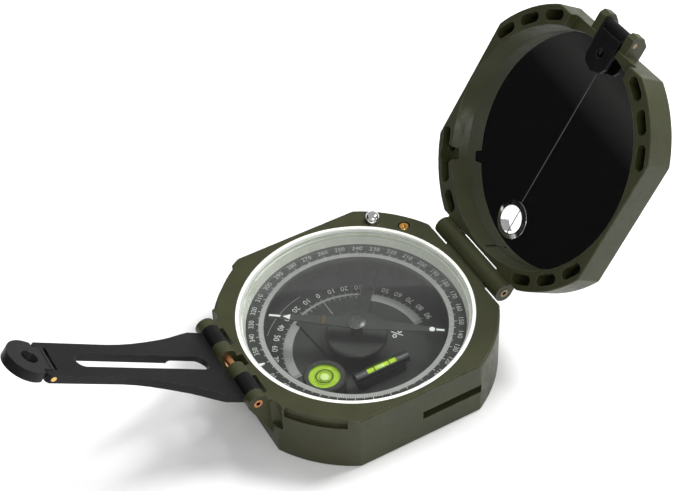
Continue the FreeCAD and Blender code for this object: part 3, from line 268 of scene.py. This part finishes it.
OLIVE = (0.031, 0.033, 0.0125)
BLACK = (0.0035, 0.0035, 0.0036)
LOOKS = {
    "case_paint": paint("olive_paint", OLIVE, 0.44, (0.13, 0.13, 0.09), specular=0.3),
    # the white ring's emission of 0.14 is a painted glow that makes it brighter than the lamps
    # light it
    "white_ring": plastic("white_enamel", (0.78, 0.80, 0.72), 0.25, 0.04, 0.04, coat=0.3,
                          painted_glow=0.14),
    "glass": clear("window_glass", (0.97, 0.98, 0.97), 0.35),
    "grey_gasket": plastic("gasket_rubber", (0.40, 0.42, 0.41), 0.5, 0.10),
    "ring_print": plastic("ring_black", (0.020, 0.021, 0.020), 0.5, 0.15),
    "brass": metal("turned_brass", (0.80, 0.52, 0.18), 0.26, (1, 1, 4)),
    "copper": metal("copper_pin", (0.78, 0.36, 0.16), 0.28, (4, 1, 1)),
    "dial_black": plastic("dial_black", (0.034, 0.035, 0.033), 0.42, 0.10, 0.02, grain=2),
    "steel": metal("machined_steel", (0.62, 0.62, 0.63), 0.3, (1, 1, 3)),
    "chrome": metal("polished_chrome", (0.86, 0.86, 0.86), 0.07, (1, 1, 2), dull=0.9),
    "level_metal": metal("dark_plating", (0.20, 0.20, 0.21), 0.26, (1, 6, 1)),
    # the level spirit's emission of 0.20 is a painted glow
    "spirit": spirit("level_spirit", (0.50, 0.70, 0.035), (0.34, 0.56, 0.02), 0.20),
    "rear_metal": metal("rear_aluminium", (0.66, 0.66, 0.67), 0.35, (1, 5, 1)),
    "needle_black": paint("needle_paint", (0.040, 0.041, 0.040), 0.45, (0.10, 0.10, 0.10),
                          0.2, 0.05),
    "luminous_white": plastic("luminous_white", (0.85, 0.87, 0.84), 0.5, 0.05),
    "mirror": looking_glass("mirror_silver"),
    "backing": plastic("mirror_backing", (0.06, 0.06, 0.06), 0.7, 0.2),
    "line_grey": plastic("engraved_line", (0.07, 0.07, 0.07), 0.6, 0.2),
    "window_metal": metal("window_chrome", (0.84, 0.84, 0.86), 0.10, (1, 1, 2), dull=0.88),
    "arm_black": paint("arm_black_paint", BLACK, 0.38, (0.06, 0.06, 0.063), 0.3, 0.25, 0.2),
}
PRINT_WHITE = plastic("print_white", (0.80, 0.81, 0.79), 0.55, 0.06, 0.05)
PRINT_PALE = plastic("print_pale", (0.50, 0.50, 0.49), 0.55, 0.08, 0.05)
PRINT_GREY = plastic("print_grey", (0.24, 0.24, 0.235), 0.6, 0.08, 0.05)
DULL_BRASS = metal("dull_brass", (0.26, 0.20, 0.12), 0.4, (4, 1, 1))
DARK_NICKEL = metal("dark_nickel", (0.30, 0.30, 0.30), 0.22)
PRINT_DARK = plastic("print_dark", (0.03, 0.05, 0.01), 0.4, 0.2, 0.05)
BUBBLE = plastic("bubble_light", (0.66, 0.86, 0.30), 0.15, 0.05, 0.02, coat=1.0)

# nodes whose finish differs from the rest of their slot
OWN_LOOKS = {"lid_hinge_pin": DULL_BRASS, "front_sight_pin": DULL_BRASS,
             "needle_weight": DULL_BRASS, "needle_cap": DARK_NICKEL}
for part in frame["record"]["subparts"]:
    thing = NODES[part["node"]]
    thing.data.materials.clear()
    thing.data.materials.append(OWN_LOOKS.get(part["node"], LOOKS[part["material_slot"]]))


# ---------------------------------------------------------------- mesh helpers
def piece(name, made, body, look, smooth=False):
    """Turns a bmesh into an object that rides on a CAD body."""
    mesh = bpy.data.meshes.new(name)
    bmesh.ops.recalc_face_normals(made, faces=made.faces)
    made.to_mesh(mesh)
    made.free()
    for face in mesh.polygons:
        face.use_smooth = smooth
    mesh.materials.append(look)
    thing = bpy.data.objects.new(name, mesh)
    bpy.context.scene.collection.objects.link(thing)
    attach(thing, body)
    return thing


def prism(made, points, low, high):
    """A closed prism over a flat outline."""
    foot = [made.verts.new((x, y, low)) for x, y in points]
    top = [made.verts.new((x, y, high)) for x, y in points]
    made.faces.new(foot[::-1])
    made.faces.new(top)
    for i, corner in enumerate(foot):
        j = (i + 1) % len(foot)
        made.faces.new((corner, foot[j], top[j], top[i]))


def at(radius, degrees):
    angle = math.radians(degrees)
    return radius * math.cos(angle), radius * math.sin(angle)


def tick(made, degrees, inner, outer, width, low, high):
    """A radial mark of even width."""
    across = Vector(at(width / 2, degrees + 90))
    start, end = Vector(at(inner, degrees)), Vector(at(outer, degrees))
    prism(made, [start - across, end - across, end + across, start + across], low, high)


def band(made, inner, outer, start, end, low, high, steps=180):
    """A flat arc between two radii; a full turn closes on itself."""
    whole = abs(end - start - 360) < 1e-6
    angles = [start + (end - start) * i / steps for i in range(steps + (not whole))]
    rings = []
    for degrees in angles:
        near, far = at(inner, degrees), at(outer, degrees)
        rings.append([made.verts.new((*near, low)), made.verts.new((*far, low)),
                      made.verts.new((*far, high)), made.verts.new((*near, high))])
    pairs = list(zip(rings, rings[1:])) + ([(rings[-1], rings[0])] if whole else [])
    for one, two in pairs:
        for i in range(4):
            j = (i + 1) % 4
            made.faces.new((one[i], one[j], two[j], two[i]))
    if not whole:
        made.faces.new(rings[0])
        made.faces.new(rings[-1][::-1])


def lettering(made, text, height, matrix, thick, wide=1.0):
    """Adds raised text, height metres tall and centred on the matrix."""
    curve = bpy.data.curves.new("lettering", "FONT")
    curve.body = text
    curve.align_x, curve.align_y = "CENTER", "CENTER"
    curve.resolution_u = 3
    holder = bpy.data.objects.new("lettering", curve)
    bpy.context.scene.collection.objects.link(holder)
    bpy.context.view_layer.update()
    flat = bpy.data.meshes.new_from_object(
        holder.evaluated_get(bpy.context.evaluated_depsgraph_get()))
    spots = [corner.co.copy() for corner in flat.vertices]
    low = Vector((min(s.x for s in spots), min(s.y for s in spots), 0))
    high = Vector((max(s.x for s in spots), max(s.y for s in spots), 0))
    size = height / (high.y - low.y)
    middle = (low + high) / 2
    layers = []
    for level in (0, thick):
        corners = [made.verts.new(matrix @ Vector(((s.x - middle.x) * size * wide,
                                                   (s.y - middle.y) * size, level)))
                   for s in spots]
        for face in flat.polygons:
            turn = list(face.vertices) if level else list(face.vertices)[::-1]
            made.faces.new([corners[i] for i in turn])
        layers.append(corners)
    foot, top = layers
    uses = {}
    for face in flat.polygons:
        for edge in face.edge_keys:
            uses[edge] = uses.get(edge, 0) + 1
    for (a, b), count in uses.items():
        if count == 1:  # an outer edge, so a wall stands on it
            made.faces.new((foot[a], foot[b], top[b], top[a]))
    bpy.data.objects.remove(holder)
    bpy.data.curves.remove(curve)
    bpy.data.meshes.remove(flat)


def facing(radius, degrees, z, tops_out):
    """Where a numeral stands on a dial, and which way its top points."""
    x, y = at(radius, degrees)
    turn = degrees - 90 if tops_out else degrees + 90
    return Matrix.Translation((x, y, z)) @ Matrix.Rotation(math.radians(turn), 4, "Z")


def by_degree(degree, ten, five, one):
    """The longer value at each tenth and fifth degree."""
    return ten if degree % 10 == 0 else five if degree % 5 == 0 else one


INK = 0.03 * MM  # how thick print stands on a surface

# ---------------------------------------------------------------- graduated ring
RING_NUMERAL_RADIUS, RING_NUMERAL_TALL = 29.2 * MM, 1.45 * MM
RING_GROUND_INNER, RING_GROUND_OUTER = 25.75 * MM, 27.1 * MM
RING_TICK_INNER, RING_TICK_WIDE = 25.8 * MM, 0.2 * MM
RING_TICK_TEN, RING_TICK_FIVE, RING_TICK_ONE = 27.9 * MM, 27.6 * MM, 27.2 * MM
numerals = bmesh.new()
for value in range(0, 360, 10):
    spot = facing(RING_NUMERAL_RADIUS, value - 90, RING_TOP, True)
    lettering(numerals, str(value), RING_NUMERAL_TALL, spot, INK)
piece("ring_numerals", numerals, "ring", PRINT_PALE)

ground = bmesh.new()
band(ground, RING_GROUND_INNER, RING_GROUND_OUTER, 0, 360, RING_TOP, RING_TOP + INK)
piece("ring_ground", ground, "ring", PRINT_GREY)

marks = bmesh.new()
for degree in range(360):
    outer = by_degree(degree, RING_TICK_TEN, RING_TICK_FIVE, RING_TICK_ONE)
    tick(marks, degree, RING_TICK_INNER, outer, RING_TICK_WIDE, RING_TOP + INK,
         RING_TOP + 2 * INK)
piece("ring_ticks", marks, "ring", PRINT_PALE)

# ---------------------------------------------------------------- clinometer scale on the plate
SCALE_FROM, SCALE_TO = 86.5, 273.5
SCALE_GROUND_INNER, SCALE_GROUND_OUTER = 18.3 * MM, 20.75 * MM
HALF_TICK_INNER, HALF_TICK_WIDE = 18.35 * MM, 0.075 * MM
SCALE_TICK_INNER, SCALE_TICK_WIDE = 20.7 * MM, 0.16 * MM
SCALE_TICK_TEN, SCALE_TICK_FIVE, SCALE_TICK_ONE = 21.6 * MM, 21.35 * MM, 21.0 * MM
ARC_INNER, ARC_OUTER, ARC_STEPS = 26.0 * MM, 26.15 * MM, 40
ARC_SPANS = ((190, 229), (235, 262))
SCALE_NUMERAL_RADIUS, SCALE_NUMERAL_TALL = 23.25 * MM, 1.75 * MM
SIGN_RADIUS, SIGN_AZIMUTH, SIGN_TURN, SIGN_TALL = 12.3 * MM, 84, 160, 3.1 * MM
ground = bmesh.new()
band(ground, SCALE_GROUND_INNER, SCALE_GROUND_OUTER, SCALE_FROM, SCALE_TO, PLATE_TOP,
     PLATE_TOP + INK)
piece("scale_ground", ground, "case", PRINT_GREY)

marks = bmesh.new()
for half_degree in range(181 * 2 - 1):
    degree = 90 + half_degree / 2
    tick(marks, degree, HALF_TICK_INNER, SCALE_TICK_INNER, HALF_TICK_WIDE, PLATE_TOP + INK,
         PLATE_TOP + 2 * INK)
for degree in range(90, 271):
    outer = by_degree(degree, SCALE_TICK_TEN, SCALE_TICK_FIVE, SCALE_TICK_ONE)
    tick(marks, degree, SCALE_TICK_INNER, outer, SCALE_TICK_WIDE, PLATE_TOP, PLATE_TOP + INK)
for start, end in ARC_SPANS:
    band(marks, ARC_INNER, ARC_OUTER, start, end, PLATE_TOP, PLATE_TOP + INK, ARC_STEPS)
piece("scale_ticks", marks, "case", PRINT_PALE)

numerals = bmesh.new()
for degree in range(90, 271, 10):
    spot = facing(SCALE_NUMERAL_RADIUS, degree, PLATE_TOP, False)
    lettering(numerals, str(abs(180 - degree)), SCALE_NUMERAL_TALL, spot, INK, 0.95)
sign = (Matrix.Translation((*at(SIGN_RADIUS, SIGN_AZIMUTH), PLATE_TOP))
        @ Matrix.Rotation(math.radians(SIGN_TURN), 4, "Z"))
lettering(numerals, "%", SIGN_TALL, sign, INK, 1.1)
piece("scale_numerals", numerals, "case", PRINT_WHITE)

# ---------------------------------------------------------------- vernier marks
VERNIER_EDGE, INDEX_INNER, INDEX_WIDE = 19.7 * MM, 14.3 * MM, 0.16 * MM
VERNIER_LONG, VERNIER_SHORT, VERNIER_WIDE = 18.6 * MM, 19.0 * MM, 0.12 * MM
VERNIER_STEP, VERNIER_STEPS = 4.75, 6
marks = bmesh.new()
tick(marks, 180, INDEX_INNER, VERNIER_EDGE, INDEX_WIDE, VERNIER_TOP, VERNIER_TOP + INK)
for step in range(-VERNIER_STEPS, VERNIER_STEPS + 1):
    if step:
        inner = VERNIER_LONG if step % 3 == 0 else VERNIER_SHORT
        tick(marks, 180 + step * VERNIER_STEP, inner, VERNIER_EDGE, VERNIER_WIDE, VERNIER_TOP,
             VERNIER_TOP + INK)
piece("vernier_marks", marks, "clinometer", PRINT_PALE)

# ---------------------------------------------------------------- line across the sight window
HAIR_RADIUS, HAIR_SIDES, HAIR_INSET = 0.14 * MM, 8, 1.1 * MM
window_low, window_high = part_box("window_ring")
window = (window_low + window_high) / 2
sight_low, sight_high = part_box("sight_line")
along = Vector((0, sight_high.y - sight_low.y, sight_high.z - sight_low.z)).normalized()
across, away = Vector((1, 0, 0)), Vector((0, -along.z, along.y))
hair = bmesh.new()
window_size = Vector((0, window_high.y - window_low.y, window_high.z - window_low.z)).length
reach = window_size / 2 - HAIR_INSET
ends = []
for side in (-1, 1):
    centre = window + along * side * reach
    ends.append([hair.verts.new(centre + (across * math.cos(turn) + away * math.sin(turn))
                                * HAIR_RADIUS)
                 for turn in (math.tau * k / HAIR_SIDES for k in range(HAIR_SIDES))])
hair.faces.new(ends[0])
hair.faces.new(ends[1][::-1])
for k in range(HAIR_SIDES):
    j = (k + 1) % HAIR_SIDES
    hair.faces.new((ends[0][k], ends[0][j], ends[1][j], ends[1][k]))
piece("window_hairline", hair, "lid", PRINT_DARK)


# ---------------------------------------------------------------- levels
def blob(name, centre, size, body, look):
    """A smooth egg shape, for a bubble."""
    made = bmesh.new()
    bmesh.ops.create_uvsphere(made, u_segments=32, v_segments=16, radius=1)
    for corner in made.verts:
        corner.co = Vector((corner.co.x * size[0], corner.co.y * size[1],
                            corner.co.z * size[2])) + centre
    return piece(name, made, body, look, smooth=True)


ROUND_MARK_INNER, ROUND_MARK_OUTER, ROUND_MARK_STEPS = 2.15 * MM, 2.5 * MM, 72
ROUND_BUBBLE = (1.3 * MM, 1.3 * MM, 0.22 * MM)
ROUND_BUBBLE_DRIFT = Vector((0.2 * MM, -0.1 * MM, -0.1 * MM))
VIAL_MARK_AT, VIAL_MARK_HALF, VIAL_MARK_STEPS = 2.3 * MM, 0.16 * MM, 24
TUBE_BUBBLE = (0.62 * MM, 1.7 * MM, 0.42 * MM)
TUBE_BUBBLE_DRIFT = Vector((0.1 * MM, -0.3 * MM, -0.35 * MM))

rings = bmesh.new()
lens_top = LENS_HIGH.z
band(rings, ROUND_MARK_INNER, ROUND_MARK_OUTER, 0, 360, lens_top, lens_top + INK,
     ROUND_MARK_STEPS)
for corner in rings.verts:
    corner.co += Vector((LENS_MIDDLE.x, LENS_MIDDLE.y, 0))
piece("round_level_mark", rings, "clinometer", PRINT_DARK)
lens_top_middle = Vector((LENS_MIDDLE.x, LENS_MIDDLE.y, lens_top))
blob("round_level_bubble", lens_top_middle + ROUND_BUBBLE_DRIFT, ROUND_BUBBLE, "clinometer",
     BUBBLE)

lines = bmesh.new()
vial_radius = (VIAL_HIGH.z - VIAL_LOW.z) / 2
hoop = ((vial_radius, -VIAL_MARK_HALF), (vial_radius + INK, -VIAL_MARK_HALF),
        (vial_radius + INK, VIAL_MARK_HALF), (vial_radius, VIAL_MARK_HALF))
for offset in (-VIAL_MARK_AT, VIAL_MARK_AT):
    for i in range(VIAL_MARK_STEPS):
        corners = []
        for angle in (math.tau * i / VIAL_MARK_STEPS, math.tau * (i + 1) / VIAL_MARK_STEPS):
            for reach, y in hoop:
                corners.append(lines.verts.new((VIAL_MIDDLE.x + reach * math.cos(angle),
                                                VIAL_MIDDLE.y + offset + y,
                                                VIAL_MIDDLE.z + reach * math.sin(angle))))
        for k in range(4):
            j = (k + 1) % 4
            lines.faces.new((corners[k], corners[j], corners[j + 4], corners[k + 4]))
bmesh.ops.remove_doubles(lines, verts=lines.verts, dist=1e-7)
piece("tube_level_lines", lines, "clinometer", PRINT_DARK)
vial_top = VIAL_MIDDLE + Vector((0, 0, vial_radius))
blob("tube_level_bubble", vial_top + TUBE_BUBBLE_DRIFT, TUBE_BUBBLE, "clinometer", BUBBLE)

# ---------------------------------------------------------------- floor, lights and camera
FLOOR_HALF, FLOOR_THICK = 3, 2 * MM
floor_look = plastic("floor_white", (0.92, 0.92, 0.92), 0.8, 0.01, 0.0, grain=5)
made = bmesh.new()
prism(made, [(-FLOOR_HALF, -FLOOR_HALF), (FLOOR_HALF, -FLOOR_HALF), (FLOOR_HALF, FLOOR_HALF),
             (-FLOOR_HALF, FLOOR_HALF)], -FLOOR_THICK, CAD_LOW.z)
mesh = bpy.data.meshes.new("floor")
made.to_mesh(mesh)
mesh.materials.append(floor_look)
floor = bpy.data.objects.new("floor", mesh)
bpy.context.scene.collection.objects.link(floor)


def card(name, centre, facing_point, half, look):
    """A flat board that only reflections see."""
    mesh = bpy.data.meshes.new(name)
    corners = [(-half, -half, 0), (half, -half, 0), (half, half, 0), (-half, half, 0)]
    mesh.from_pydata(corners, [], [(0, 1, 2, 3)])
    mesh.materials.append(look)
    board = bpy.data.objects.new(name, mesh)
    board.location = centre
    board.rotation_mode = "QUATERNION"
    board.rotation_quaternion = (facing_point - centre).to_track_quat("Z", "Y")
    board.visible_camera = False
    board.visible_diffuse = False
    board.visible_shadow = False
    bpy.context.scene.collection.objects.link(board)


# a dark board where the lid's mirror looks, seen only in reflections: a painted reflection of
# shade, as a studio's unlit side would be
BOARD_WAY, BOARD_FAR, BOARD_HALF = Vector((-0.604, -0.796, 0.109)), 0.45, 0.22
mirror_low, mirror_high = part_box("mirror")
mirror_middle = (mirror_low + mirror_high) / 2
dark = Nodes("painted_reflection_board")
split = dark.add("ShaderNodeSeparateXYZ")
dark.link(dark.place, split.inputs[0])
shade = dark.spread(split.outputs["Y"], 0, 1, -BOARD_HALF, BOARD_HALF)
# painted reflection: near black, with one faint lighter band and a lighter end along the
# board's Y
dark.link(dark.ramp(shade, ((0.0, (0.004, 0.004, 0.004)), (0.55, (0.004, 0.004, 0.004)),
                            (0.60, (0.022, 0.022, 0.021)), (0.66, (0.006, 0.006, 0.006)),
                            (1.0, (0.02, 0.02, 0.019)))), dark.shader.inputs["Base Color"])
dark.shader.inputs["Specular IOR Level"].default_value = 0.0
card("painted_reflection_board", mirror_middle + BOARD_WAY * BOARD_FAR, mirror_middle, BOARD_HALF,
     dark.material)


def area(name, spot, target, size, power, mirrored=True):
    """A round soft lamp. One that isn't mirrored stays out of reflections."""
    lamp = bpy.data.lights.new(name, "AREA")
    lamp.shape = "DISK"
    lamp.size = size
    lamp.energy = power
    holder = bpy.data.objects.new(name, lamp)
    holder.location = spot
    holder.rotation_mode = "QUATERNION"
    holder.rotation_quaternion = (Vector(target) - Vector(spot)).to_track_quat("-Z", "Y")
    holder.visible_glossy = mirrored
    bpy.context.scene.collection.objects.link(holder)


area("key", (0.0, 0.58, 0.68), (0, 0, 0.01), 0.35, 7.5)
area("overhead", (-0.40, 0.20, 0.75), (0, 0, 0), 0.60, 3.0, mirrored=False)
area("side", (0.70, -0.20, 0.50), (0, 0, 0.01), 0.45, 2.8)
world = bpy.data.worlds.new("studio")
world.use_nodes = True
backdrop = world.node_tree.nodes["Background"]
backdrop.inputs["Color"].default_value = (1, 1, 1, 1)
backdrop.inputs["Strength"].default_value = 0.42
bpy.context.scene.world = world
bpy.context.scene.view_settings.view_transform = "Standard"

CAMERA_PLACE = (0.27457, -0.14350, 0.35310)
CAMERA_TURN = (45.2376, 0.4186, 59.0331)
SENSOR_WIDE, FOCAL_LENGTH = 36, 87.63
SHIFT = (-0.1083, -0.0112)
lens = bpy.data.cameras.new("camera")
lens.sensor_width = SENSOR_WIDE
lens.lens = FOCAL_LENGTH
lens.shift_x, lens.shift_y = SHIFT
lens.clip_start, lens.clip_end = 0.01, 20
camera = bpy.data.objects.new("camera", lens)
camera.location = CAMERA_PLACE
camera.rotation_euler = [math.radians(turn) for turn in CAMERA_TURN]
bpy.context.scene.collection.objects.link(camera)
bpy.context.scene.camera = camera

bpy.context.view_layer.update()
